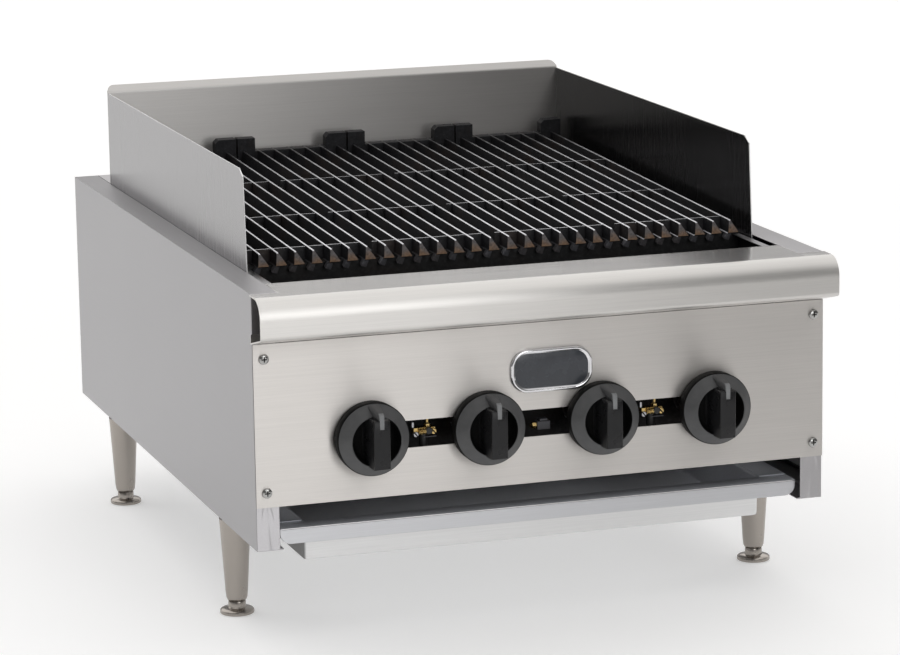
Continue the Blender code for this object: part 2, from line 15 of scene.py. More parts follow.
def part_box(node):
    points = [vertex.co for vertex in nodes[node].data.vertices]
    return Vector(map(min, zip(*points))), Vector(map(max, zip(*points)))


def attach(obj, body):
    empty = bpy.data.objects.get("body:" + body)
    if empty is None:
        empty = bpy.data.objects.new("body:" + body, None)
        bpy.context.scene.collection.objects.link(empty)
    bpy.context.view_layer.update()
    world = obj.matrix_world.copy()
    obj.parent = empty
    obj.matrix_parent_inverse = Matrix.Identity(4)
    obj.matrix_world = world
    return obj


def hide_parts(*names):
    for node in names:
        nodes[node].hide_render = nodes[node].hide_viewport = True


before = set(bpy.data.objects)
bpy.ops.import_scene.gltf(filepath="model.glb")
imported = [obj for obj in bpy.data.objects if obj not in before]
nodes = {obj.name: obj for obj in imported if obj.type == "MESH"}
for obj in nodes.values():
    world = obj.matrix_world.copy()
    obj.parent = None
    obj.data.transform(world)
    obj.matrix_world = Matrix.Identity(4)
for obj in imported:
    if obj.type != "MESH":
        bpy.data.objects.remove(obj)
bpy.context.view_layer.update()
random.seed(7)

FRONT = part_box("side_panel_left")[0].y
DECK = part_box("side_panel_left")[1].z
KNOB_XS = [sum(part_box(f"valve_stem_{i}")[e].x for e in (0, 1)) / 2 for i in range(1, 5)]
KNOB_Z = sum(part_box("valve_stem_1")[e].z for e in (0, 1)) / 2


# Mesh helpers

def mesh_from(bm, recalc=True):
    if recalc:
        bmesh.ops.recalc_face_normals(bm, faces=bm.faces)
    mesh = bpy.data.meshes.new("shape")
    bm.to_mesh(mesh)
    bm.free()
    return mesh


def axis_point(axis, along, first, second):
    point = [first, second]
    point.insert("XYZ".index(axis), along)
    return Vector(point)


def loft(rings, close_ends=True, materials=None):
    """A skin over rings of the same number of points. materials gives each side's material, in ring order."""
    bm = bmesh.new()
    rows = [[bm.verts.new(p) for p in ring] for ring in rings]
    count = len(rows[0])
    for a, b in zip(rows, rows[1:]):
        for i in range(count):
            j = (i + 1) % count
            face = bm.faces.new((a[i], a[j], b[j], b[i]))
            if materials:
                face.material_index = materials[i]
    if close_ends:
        bm.faces.new(rows[0][::-1])
        bm.faces.new(rows[-1])
    return mesh_from(bm)


def prism(outline, axis, start, end):
    return loft([[axis_point(axis, along, a, b) for a, b in outline] for along in (start, end)])


def box(low, high):
    outline = [(low[0], low[1]), (high[0], low[1]), (high[0], high[1]), (low[0], high[1])]
    return prism(outline, "Z", low[2], high[2])


def turned(profile, axis, segments=64):
    """A profile of (radius, place along the axis) turned round the axis; a radius of 0 closes an end."""
    bm = bmesh.new()
    rows = []
    for radius, along in profile:
        angles = [math.tau * k / segments for k in range(segments)] if radius > 0 else [0]
        around = [(radius * math.cos(a), radius * math.sin(a)) for a in angles]
        rows.append([bm.verts.new(axis_point(axis, along, u, v)) for u, v in around])
    for a, b in zip(rows, rows[1:]):
        for k in range(segments):
            quad = [a[k % len(a)], a[(k + 1) % len(a)], b[(k + 1) % len(b)], b[k % len(b)]]
            corners = list(dict.fromkeys(quad))
            if len(corners) > 2:
                bm.faces.new(corners)
    return mesh_from(bm)


def arc(centre, radius, start_degrees, end_degrees, steps):
    sweep = end_degrees - start_degrees
    angles = [math.radians(start_degrees + sweep * i / steps) for i in range(steps + 1)]
    return [(centre[0] + radius * math.cos(a), centre[1] + radius * math.sin(a)) for a in angles]


def rounded_rectangle(half_width, half_height, radius, steps=8, centre=(0, 0)):
    outline = []
    for side, up, start in ((1, 1, 0), (-1, 1, 90), (-1, -1, 180), (1, -1, 270)):
        middle = (centre[0] + side * (half_width - radius), centre[1] + up * (half_height - radius))
        outline += arc(middle, radius, start, start + 90, steps)
    return outline


def sheet_outline(path, thickness):
    """The outline of a bent sheet: the path, and the same path set off to its left."""
    points = [Vector(p) for p in path]
    ways = [(b - a).normalized() for a, b in zip(points, points[1:])]
    lefts = [Vector((-way.y, way.x)) for way in ways]
    inside = []
    for i, point in enumerate(points):
        before, after = lefts[max(i - 1, 0)], lefts[min(i, len(lefts) - 1)]
        middle = (before + after).normalized()
        inside.append(point + middle * (thickness / middle.dot(before)))
    return [tuple(p) for p in points + inside[::-1]]


def joined(*meshes):
    bm = bmesh.new()
    for mesh in meshes:
        bm.from_mesh(mesh)
    return mesh_from(bm, recalc=False)


def shifted(mesh, offset):
    mesh.transform(Matrix.Translation(offset))
    return mesh


def tube(points, radius, segments=10):
    """A round tube along a smooth line of points."""
    points = [Vector(p) for p in points]
    rings = []
    side = None
    for i, point in enumerate(points):
        way = (points[min(i + 1, len(points) - 1)] - points[max(i - 1, 0)]).normalized()
        side = side.cross(way).cross(way).normalized() * -1 if side else way.orthogonal()
        side = (side - way * side.dot(way)).normalized()
        up = way.cross(side)
        angles = [math.tau * k / segments for k in range(segments)]
        rings.append([point + (side * math.cos(a) + up * math.sin(a)) * radius for a in angles])
    return loft(rings)


def piece(name, mesh, materials, body, stands_for=(), place=(0, 0, 0), turn=(0, 0, 0), bevel=0, steps=2,
          angle=32):
    """A finished piece in its place, riding on its body."""
    mesh.name = name
    for material in materials if isinstance(materials, (list, tuple)) else [materials]:
        mesh.materials.append(material)
    mesh.shade_smooth()
    mesh.set_sharp_from_angle(angle=math.radians(angle))
    obj = bpy.data.objects.new(name, mesh)
    bpy.context.scene.collection.objects.link(obj)
    obj.location = Vector((0, FRONT, 0)) + Vector(place)
    obj.rotation_euler = turn
    if bevel:
        soften(obj, bevel, steps)
    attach(obj, body)
    if stands_for:
        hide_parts(*stands_for)
    return obj


def soften(obj, width, steps=2, weld=False):
    """Rounds an object's edges and evens out the shading of its flat faces."""
    if weld:
        obj.modifiers.new("weld", "WELD").merge_threshold = 1e-5
    bevel = obj.modifiers.new("bevel", "BEVEL")
    bevel.width = width
    bevel.segments = steps
    bevel.limit_method = "ANGLE"
    bevel.angle_limit = math.radians(38)
    bevel.use_clamp_overlap = True
    weighted = obj.modifiers.new("normals", "WEIGHTED_NORMAL")
    weighted.keep_sharp = False


# Materials

class Graph:
    """A material's node tree, with short ways to add and join nodes."""

    def __init__(self, name, colour, roughness, metallic=0.0, **sockets):
        self.material = bpy.data.materials.new(name)
        self.material.use_nodes = True
        self.material.diffuse_color = (*colour, 1)
        self.tree = self.material.node_tree
        self.shader = self.tree.nodes["Principled BSDF"]
        self.set("Base Color", (*colour, 1))
        self.set("Roughness", roughness)
        self.set("Metallic", metallic)
        for socket, value in sockets.items():
            self.set(socket.replace("_", " "), value)
        self.place = self.add("ShaderNodeTexCoord").outputs["Object"]

    def add(self, kind, **settings):
        node = self.tree.nodes.new(kind)
        for key, value in settings.items():
            setattr(node, key, value)
        return node

    def join(self, out, into):
        self.tree.links.new(out, into)

    def set(self, socket, value):
        self.shader.inputs[socket].default_value = value

    def stretched(self, scale):
        mapping = self.add("ShaderNodeMapping")
        mapping.inputs["Scale"].default_value = scale
        self.join(self.place, mapping.inputs["Vector"])
        return mapping.outputs["Vector"]

    def noise(self, vector, scale, detail=4, roughness=0.5):
        noise = self.add("ShaderNodeTexNoise")
        noise.inputs["Scale"].default_value = scale
        noise.inputs["Detail"].default_value = detail
        noise.inputs["Roughness"].default_value = roughness
        self.join(vector, noise.inputs["Vector"])
        return noise.outputs["Fac"]

    def ranged(self, value, low, high, to_low, to_high):
        node = self.add("ShaderNodeMapRange")
        sockets = ("From Min", "From Max", "To Min", "To Max")
        for socket, number in zip(sockets, (low, high, to_low, to_high)):
            node.inputs[socket].default_value = number
        self.join(value, node.inputs["Value"])
        return node.outputs["Result"]

    def math(self, operation, first, second):
        node = self.add("ShaderNodeMath", operation=operation)
        for socket, value in zip(node.inputs, (first, second)):
            if isinstance(value, (int, float)):
                socket.default_value = value
            else:
                self.join(value, socket)
        return node.outputs[0]

    def coordinate(self, letter):
        parts = self.add("ShaderNodeSeparateXYZ")
        self.join(self.place, parts.inputs[0])
        return parts.outputs[letter]

    def colours(self, factor, *stops):
        ramp = self.add("ShaderNodeValToRGB")
        elements = ramp.color_ramp.elements
        while len(elements) < len(stops):
            elements.new(0.5)
        for element, (position, colour) in zip(elements, stops):
            element.position = position
            element.color = (*colour, 1)
        self.join(factor, ramp.inputs["Fac"])
        return ramp.outputs["Color"]

    def mixed(self, factor, first, second):
        node = self.add("ShaderNodeMix", data_type="RGBA")
        if isinstance(factor, (int, float)):
            node.inputs["Factor"].default_value = factor
        else:
            self.join(factor, node.inputs["Factor"])
        for socket, value in ((node.inputs[6], first), (node.inputs[7], second)):
            if isinstance(value, (list, tuple)):
                socket.default_value = (*value, 1)
            else:
                self.join(value, socket)
        return node.outputs[2]

    def bump(self, height, strength, distance):
        node = self.add("ShaderNodeBump")
        node.inputs["Strength"].default_value = strength
        node.inputs["Distance"].default_value = distance
        self.join(height, node.inputs["Height"])
        self.join(node.outputs["Normal"], self.shader.inputs["Normal"])

    def colour_from(self, out):
        self.join(out, self.shader.inputs["Base Color"])

    def roughness_from(self, out):
        self.join(out, self.shader.inputs["Roughness"])


def scaled(colour, factor):
    return tuple(channel * factor for channel in colour)


def brushed(name, colour, roughness, grain, anisotropy=0.75, streak=0.05, facing_shade=None, metallic=1.0,
            edge_highlight=None):
    """Brushed stainless: fine lines along the grain, a soft cloudiness, and highlights drawn out across it.

    Painted shade: the facing argument gives a way that faces may be turned and what the colour is
    multiplied by there. Painted highlight: the edge argument gives the colour, made less metallic, of the
    faces that aren't turned to either side.
    """
    g = Graph(name, colour, roughness, metallic, Anisotropic=anisotropy)
    along = "XYZ".index(grain)
    fine = [1500.0] * 3
    fine[along] = 14.0
    coarse = [420.0] * 3
    coarse[along] = 5.0
    lines = g.noise(g.stretched(fine), 1.0, 2, 0.6)
    bands = g.noise(g.stretched(coarse), 1.0, 3, 0.5)
    cloud = g.noise(g.place, 6.0, 2, 0.5)
    tone = g.math("ADD", g.math("MULTIPLY", lines, 0.5), g.math("MULTIPLY", bands, 0.25))
    tone = g.math("ADD", tone, g.math("MULTIPLY", cloud, 0.25))
    dull_line, bright_line = scaled(colour, 1 - streak), scaled(colour, 1 + streak)
    shade = g.colours(tone, (0.34, dull_line), (0.50, colour), (0.66, bright_line))
    normal = g.add("ShaderNodeNewGeometry").outputs["Normal"]
    # Painted shade: faces turned the given way have their colour multiplied down.
    if facing_shade:
        facing_for_shade = g.add("ShaderNodeVectorMath", operation="DOT_PRODUCT")
        g.join(normal, facing_for_shade.inputs[0])
        facing_for_shade.inputs[1].default_value = facing_shade[0]
        factor = g.ranged(facing_for_shade.outputs["Value"], 0.3, 0.8, 1, facing_shade[1])
        dimmed = g.add("ShaderNodeVectorMath", operation="SCALE")
        g.join(shade, dimmed.inputs[0])
        g.join(factor, dimmed.inputs["Scale"])
        shade = dimmed.outputs["Vector"]
    # Painted highlight: faces turned neither left nor right are mixed to a pale, less metallic colour.
    if edge_highlight:
        parts = g.add("ShaderNodeSeparateXYZ")
        g.join(normal, parts.inputs[0])
        sideways = g.math("ABSOLUTE", parts.outputs["X"], 0.0)
        shade = g.mixed(g.ranged(sideways, 0.55, 0.9, 1.0, 0.0), shade, edge_highlight)
        g.join(g.ranged(sideways, 0.55, 0.9, 0.35, 1.0), g.shader.inputs["Metallic"])
    g.colour_from(shade)
    g.roughness_from(g.ranged(tone, 0.3, 0.7, roughness - 0.03, roughness + 0.03))
    g.bump(lines, 0.06, 0.0001)
    grain_way = Vector((0, 0, 0))
    grain_way[along] = 1
    across = g.add("ShaderNodeVectorMath", operation="CROSS_PRODUCT")
    g.join(normal, across.inputs[0])
    across.inputs[1].default_value = grain_way
    g.join(across.outputs["Vector"], g.shader.inputs["Tangent"])
    return g.material


def cast(name, dark, brown, roughness, rust=0.25):
    """Rough black casting with a sandy skin and patches burnt brown."""
    g = Graph(name, dark, roughness, 0.35, Specular_IOR_Level=0.5)
    grit = g.noise(g.place, 900.0, 3, 0.7)
    skin = g.noise(g.place, 260.0, 4, 0.6)
    patches = g.noise(g.place, 16.0, 3, 0.6)
    shade = g.colours(skin, (0.30, scaled(dark, 0.55)), (0.55, dark), (0.80, scaled(dark, 2.1)))
    burnt = g.ranged(patches, 0.50, 0.72, 0.0, rust)
    g.colour_from(g.mixed(burnt, shade, brown))
    g.roughness_from(g.ranged(grit, 0.2, 0.8, roughness - 0.12, roughness + 0.18))
    g.bump(g.math("ADD", g.math("MULTIPLY", grit, 0.4), skin), 0.55, 0.0006)
    return g.material


def plastic(name, colour, roughness, shine=0.5):
    g = Graph(name, colour, roughness, 0.0, Specular_IOR_Level=shine)
    fine = g.noise(g.place, 1500.0, 2, 0.5)
    wear = g.noise(g.place, 90.0, 3, 0.5)
    g.colour_from(g.colours(wear, (0.30, scaled(colour, 0.88)), (0.70, scaled(colour, 1.12))))
    g.roughness_from(g.ranged(wear, 0.3, 0.7, roughness - 0.05, roughness + 0.07))
    g.bump(fine, 0.12, 0.0002)
    return g.material


def plated(name, colour, roughness, wear=0.06):
    g = Graph(name, colour, roughness, 1.0)
    smears = g.noise(g.stretched((60.0, 60.0, 14.0)), 1.0, 3, 0.6)
    g.colour_from(g.colours(smears, (0.30, scaled(colour, 1 - wear)), (0.70, scaled(colour, 1 + wear))))
    g.roughness_from(g.ranged(smears, 0.3, 0.7, roughness * 0.8, roughness * 1.3))
    return g.material


def worn_edges_with_highlight(name, bright, dark, length):
    """The top edges of the grate bars: scraped bare metal with a painted highlight, bright at the front and
    darker towards the back.
    """
    # The pale, partly metallic colour paints the highlight the edges catch, over their real wear.
    g = Graph(name, bright, 0.38, 0.35)
    wear = g.noise(g.stretched((500.0, 60.0, 500.0)), 1.0, 4, 0.65)
    scuffed = g.colours(wear, (0.30, scaled(bright, 0.45)), (0.44, scaled(bright, 0.9)), (0.60, bright))
    # The colour darkens towards the back, with a noisy boundary.
    back_fade_wobble = g.noise(g.place, 40.0, 3, 0.6)
    far = g.math("ADD", g.coordinate("Y"), g.ranged(back_fade_wobble, 0.3, 0.7, -0.03, 0.03))
    dimmed = g.mixed(g.ranged(far, 0, length * 0.8, 0.0, 0.55), scuffed, dark)
    g.colour_from(g.mixed(g.ranged(far, length * 0.80, length * 0.93, 0.0, 1.0), dimmed, dark))
    g.roughness_from(g.ranged(wear, 0.3, 0.7, 0.45, 0.30))
    g.bump(wear, 0.15, 0.0002)
    return g.material


def heated_front(name, grey, brown, depth):
    """The cast front ends of the grate bars: grey above, burnt brown below."""
    g = Graph(name, grey, 0.6, 0.15)
    skin = g.noise(g.place, 420.0, 4, 0.7)
    patches = g.noise(g.place, 70.0, 3, 0.6)
    low = g.math("ADD", g.coordinate("Z"), g.ranged(patches, 0.25, 0.75, -0.006, 0.006))
    shade = g.mixed(g.ranged(low, -depth * 0.35, -depth * 0.9, 0.0, 1.0), grey, brown)
    speckled = g.add("ShaderNodeVectorMath", operation="SCALE")
    g.join(shade, speckled.inputs[0])
    g.join(g.ranged(skin, 0.3, 0.7, 0.45, 1.45), speckled.inputs["Scale"])
    g.colour_from(speckled.outputs["Vector"])
    g.bump(skin, 0.4, 0.0004)
    return g.material


# Painted shade: the side panels' outward faces get a darker colour than their other faces.
left_steel = brushed("left_steel", (0.57, 0.56, 0.575), 0.38, "Y", 0.85, facing_shade=((-1, 0, 0), 0.65))
right_steel = brushed("right_steel", (0.49, 0.48, 0.49), 0.38, "Y", 0.85, facing_shade=((1, 0, 0), 0.75))
back_steel = brushed("back_steel", (0.50, 0.49, 0.50), 0.38, "X", 0.85)
panel_steel = brushed("panel_steel", (0.66, 0.635, 0.61), 0.40, "X", 0.9)
rail_steel = brushed("rail_steel", (0.66, 0.645, 0.625), 0.36, "X", 0.8)
# Painted light: the rail's flat top is a lighter copy of the rail steel.
rail_top_painted_light = brushed("rail_top_painted_light", (0.80, 0.785, 0.775), 0.17, "X", 0.8)
deck_steel = brushed("deck_steel", (0.50, 0.50, 0.51), 0.30, "Y")
splash_steel = brushed("splash_steel", (0.60, 0.585, 0.57), 0.40, "X", 0.9)
# The wings are darker copies of the steel, with painted shade on their inner faces and a painted highlight on
# their edges.
wing_left_steel = brushed("wing_left_steel", (0.36, 0.355, 0.36), 0.26, "Z", 0.8, facing_shade=((1, 0, 0), 0.4),
                           edge_highlight=(0.9, 0.9, 0.9))
wing_right_steel = brushed("wing_right_steel", (0.38, 0.375, 0.38), 0.26, "Z", 0.8, facing_shade=((-1, 0, 0), 0.3),
                            edge_highlight=(0.9, 0.9, 0.9))
lip_steel = brushed("lip_steel", (0.60, 0.605, 0.625), 0.33, "X", 0.85)
# Painted reflection: the pan is a lighter copy of the lip's steel, with painted shade on its left-facing
# faces.
pan_painted_light_and_shade = brushed("pan_painted_light_and_shade", (0.80, 0.80, 0.80), 0.36, "X", 0.85, facing_shade=((-1, 0, 0), 0.25))
# Painted light: the pan's inside and the doublers are a near-white, mostly non-metallic copy of the steel.
tray_inside_painted_light = brushed("tray_inside_painted_light", (0.86, 0.88, 0.94), 0.40, "X", 0.6, metallic=0.2)
plain_steel = brushed("plain_steel", (0.33, 0.33, 0.34), 0.42, "Y")
# Painted light: a near-white, mostly non-metallic copy of the steel for the lit insides of the side panels.
lining_painted_light = brushed("lining_painted_light", (0.92, 0.92, 0.92), 0.45, "Y", 0.6, metallic=0.15)
heated_steel = cast("heated_steel", (0.020, 0.020, 0.021), (0.05, 0.03, 0.02), 0.42, 0.3)
grate_iron = cast("grate_iron", (0.020, 0.020, 0.023), (0.085, 0.050, 0.032), 0.48, 0.35)
# Painted highlight: a paler copy of the grate iron for the hooks under the front and the blades' left foot
# edges.
pale_iron_highlight = cast("pale_iron_highlight", (0.075, 0.075, 0.085), (0.10, 0.07, 0.05), 0.40, 0.3)
burner_iron = cast("burner_iron", (0.030, 0.028, 0.027), (0.10, 0.055, 0.03), 0.6, 0.5)
front_iron = heated_front("front_iron", (0.20, 0.185, 0.185), (0.30, 0.19, 0.12), 0.015)
# The grate bars' top edges: real wear with a painted highlight.
bright_edges = worn_edges_with_highlight("bright_edges", (0.90, 0.90, 0.94), (0.05, 0.05, 0.053), 0.572)
knob_ring = plastic("knob_ring", (0.084, 0.085, 0.087), 0.52, 0.4)
# Painted shade: near-black copies of the knob plastic for the skirt's outer side and its pocket.
knob_side_painted_shade = plastic("knob_side_painted_shade", (0.006, 0.006, 0.006), 0.6, 0.1)
knob_pocket_painted_shade = plastic("knob_pocket_painted_shade", (0.006, 0.006, 0.006), 0.5, 0.1)
knob_bar = plastic("knob_bar", (0.013, 0.013, 0.014), 0.30, 0.3)
pointer_grey = plastic("pointer_grey", (0.20, 0.205, 0.21), 0.5)
leg_nickel = plated("leg_nickel", (0.37, 0.34, 0.31), 0.22)
chrome = plated("chrome", (0.80, 0.80, 0.82), 0.08, 0.02)
screw_zinc = plated("screw_zinc", (0.42, 0.42, 0.41), 0.16)
# Painted shade: near-black inserts in the screw recesses and slots.
recess_painted_shade = plastic("recess_painted_shade", (0.004, 0.004, 0.004), 0.6, 0.1)
brass = plated("brass", (0.66, 0.48, 0.20), 0.25)
pipe_black = plastic("pipe_black", (0.02, 0.02, 0.02), 0.45)
badge_field = plastic("badge_field", (0.05, 0.055, 0.065), 0.25)
port_grey = plastic("port_grey", (0.060, 0.060, 0.068), 0.45)
aluminium = plated("aluminium", (0.50, 0.50, 0.52), 0.35)

for name, material in {
    "side_panel_left": left_steel, "side_panel_right": right_steel, "back_panel": back_steel,
    "control_panel": panel_steel, "splash_wing_left": wing_left_steel,
    "splash_wing_right": wing_right_steel, "panel_brace": plain_steel, "tray_rail_left": plain_steel,
    "tray_rail_right": plain_steel, "firebox_left": heated_steel, "firebox_right": heated_steel,
    "firebox_front": heated_steel, "firebox_back": heated_steel, "grate_rest_front": heated_steel,
    "grate_rest_back": heated_steel, "gas_manifold": pipe_black, "supply_pipe": pipe_black,
    **{f"radiant_{i}": burner_iron for i in range(1, 5)},
    **{f"burner_{i}": burner_iron for i in range(1, 5)},
    **{f"gas_valve_{i}": brass for i in range(1, 5)},
    **{f"valve_stem_{i}": chrome for i in range(1, 5)},
    **{
        f"panel_screw_{side}_{level}": screw_zinc
        for side in ("left", "right")
        for level in ("upper", "lower")
    },
}.items():
    nodes[name].data.materials.clear()
    nodes[name].data.materials.append(material)

for name in ("side_panel_left", "side_panel_right", "splash_wing_left", "splash_wing_right"):
    soften(nodes[name], 0.0006, 2, weld=True)


# The front rail

def front_rail():
    nose, radius, lip, drop, sheet = -0.0395, 0.0205, 0.005, 0.0362, 0.0015
    flat = [(0.050, DECK - 0.010), (0.050, DECK - 0.0012), (0.0493, DECK)]
    front = arc((nose + radius, DECK - radius), radius, 90, 180, 20)
    front += arc((nose + lip, DECK - drop), lip, 180, 256, 8)
    front += [(-0.0003, DECK - 0.050), (-0.0003, DECK - 0.040)]
    middle = prism(sheet_outline(flat + front, sheet), "X", -0.2770, 0.2770)
    ends = [
        prism(sheet_outline([(-0.0003, DECK)] + front, sheet), "X", low, high)
        for low, high in ((-0.3065, -0.2770), (0.2770, 0.3065))
    ]
    bm = bmesh.new()
    for mesh in (middle, *ends):
        bm.from_mesh(mesh)
    bmesh.ops.remove_doubles(bm, verts=bm.verts, dist=1e-5)
    mesh = mesh_from(bm)
    # The flat top faces take the lighter copy: painted light.
    for face in mesh.polygons:
        face.material_index = 1 if face.normal.z > 0.995 and face.center.z > DECK - 0.0005 else 0
    piece("front_rail_bullnose", mesh, [rail_steel, rail_top_painted_light], "body", ["front_rail"],
          bevel=0.0003, steps=2)


front_rail()


# The splash guard's back wall, and linings inside the side panels: pale sheets that carry painted light

def splash_back():
    """A wall whose top edge is bent back, lower towards its two rounded corners."""
    half, foot, fold, hem, bend, corner, sheet = 0.2770, 0.340, 0.4700, 0.0077, 0.0040, 0.0085, 0.0015
    front, turn = 0.7238, bend * math.tan(math.radians(22.5))
    inner = half - corner
    stations = [-half, -half + 0.0004, -half + 0.0012, -half + 0.0026, -half + 0.0045, -half + 0.0065, -inner]
    stations += [inner, half - 0.0065, half - 0.0045, half - 0.0026, half - 0.0012, half - 0.0004, half]
    rings = []
    for x in stations:
        past = max(abs(x) - inner, 0)
        top = max(fold + hem - corner + math.sqrt(max(corner ** 2 - past ** 2, 0)), fold + 0.0014)
        path = [(front, foot)] + [(front + bend - y, z) for y, z in arc((0, fold - turn), bend, 0, 45, 10)]
        path.append((front + top - fold, top))
        rings.append([axis_point("X", x, y, z) for y, z in sheet_outline(path, -sheet)])
    piece("splash_back_wall", loft(rings), splash_steel, "body", ["splash_back"],
          bevel=0.0003)


splash_back()
for side, label in ((-1, "left"), (1, "right")):
    low_x, high_x = sorted((side * 0.3028, side * 0.3034))
    lining = box((low_x, 0.0022, 0.1235), (high_x, 0.30, 0.30))
    piece(f"side_panel_lining_{label}", lining, lining_painted_light, "body", bevel=0.0002)


# Knobs

def knob_skirt():
    """The ring, its outer side and the pocket. Materials: 0 ring, 1 side in painted shade, 2 pocket in
    painted shade.
    """
    profile = [
        (0, -0.0045), (0.0366, -0.0045), (0.0373, -0.0052), (0.0375, -0.0158), (0.0373, -0.0170),
        (0.0366, -0.0178), (0.0350, -0.0190), (0.0275, -0.0271), (0.0266, -0.0281), (0.0259, -0.0285),
        (0.0253, -0.0282), (0.0249, -0.0272), (0.0242, -0.0215), (0.0230, -0.0165), (0.0210, -0.0138),
        (0.0180, -0.0128), (0, -0.0126),
    ]
    mesh = turned(profile, "Y", 96)
    for face in mesh.polygons:
        radius = math.hypot(face.center.x, face.center.z)
        # The pocket and the outer side take the near-black copies: painted shade.
        if radius < 0.0254:
            face.material_index = 2
        elif radius > 0.0368:
            face.material_index = 1
    return mesh


def knob_grip():
    """An upright bar with a flat front, soft edges, a round lower end and a fillet at its foot."""
    half, front, corner, foot = 0.0085, -0.04685, 0.0011, -0.0120
    stations = [(-1.0, 0.0060), (-0.985, 0.0022), (-0.96, 0.0007), (-0.92, 0.0), (-0.4, 0.0), (0.4, 0.0),
                (0.90, 0.0), (0.95, 0.0006), (0.985, 0.0022), (1.0, 0.0050)]
    low_radius, high_radius = 0.0268, 0.0262
    rings = []
    for share, back in stations:
        edge = front + back
        outline = [(-half - 0.0026, foot - 0.0006), (-half - 0.0010, foot - 0.0016), (-half, foot - 0.0040)]
        outline += arc((-half + corner, edge + corner), corner, 180, 270, 4)
        outline += arc((half - corner, edge + corner), corner, 270, 360, 4)
        outline += [(half, foot - 0.0040), (half + 0.0010, foot - 0.0016), (half + 0.0026, foot - 0.0006)]
        ring = []
        for x, y in outline:
            reach = math.sqrt((low_radius if share < 0 else high_radius) ** 2 - min(abs(x), half) ** 2)
            ring.append(Vector((x, y, share * reach)))
        rings.append(ring)
    return loft(rings)


def knob_ridge():
    """The narrow neck that runs from the bar's upper end over the ring and carries the pointer."""
    stations = [
        (0.0225, 0.0028, -0.0452, 0.0036), (0.0262, 0.0028, -0.0456, 0.0044),
        (0.0295, 0.0027, -0.0452, 0.0052), (0.0312, 0.0026, -0.0440, 0.0058),
        (0.0322, 0.0024, -0.0410, 0.0064), (0.0332, 0.0023, -0.0350, 0.0068),
        (0.0345, 0.0022, -0.0275, 0.0066), (0.0360, 0.0016, -0.0205, 0.0050),
    ]
    rings = []
    for z, half, top, foot in stations:
        middle = (top - 0.0160) / 2 - 0.003
        outline = [
            (-foot, -0.0150), (-foot * 0.62 - half * 0.38, middle),
            (-half, top + 0.0006), (-half + 0.0005, top), (half - 0.0005, top), (half, top + 0.0006),
            (foot * 0.62 + half * 0.38, middle), (foot, -0.0150),
        ]
        rings.append([Vector((x, y, z)) for x, y in outline])
    return loft(rings)


def knob_pointer():
    rings = []
    for z, half, top in ((0.0162, 0.0021, -0.0469), (0.0236, 0.0023, -0.0469), (0.0262, 0.0024, -0.0468),
                         (0.0302, 0.0025, -0.0459), (0.0318, 0.0025, -0.0438)):
        outline = [(-half, top + 0.0020), (-half, top), (half, top), (half, top + 0.0020)]
        rings.append([Vector((x, y, z)) for x, y in outline])
    return loft(rings)


skirt_mesh, grip_mesh, ridge_mesh, pointer_mesh = knob_skirt(), knob_grip(), knob_ridge(), knob_pointer()
for i, x in enumerate(KNOB_XS, 1):
    knob, place = f"knob_{i}", (x, 0, KNOB_Z)
    piece(f"{knob}_skirt", skirt_mesh.copy(), [knob_ring, knob_side_painted_shade, knob_pocket_painted_shade], knob, [knob], place,
          angle=50)
    piece(f"{knob}_grip", grip_mesh.copy(), knob_bar, knob, place=place, angle=60)
    piece(f"{knob}_ridge", ridge_mesh.copy(), knob_ring, knob, place=place, angle=70)
    piece(f"{knob}_pointer", pointer_mesh.copy(), pointer_grey, knob, place=place)


# Grates

GRATE_TILT = math.radians(1.9)
GRATE_LENGTH, BLADE_DEPTH, BLADE_FOOT = 0.572, 0.015, 0.0112
BLADE_COUNT, BLADE_PITCH, FIRST_BLADE = 7, 0.019, -0.0584
LAST_BLADE = FIRST_BLADE + (BLADE_COUNT - 1) * BLADE_PITCH


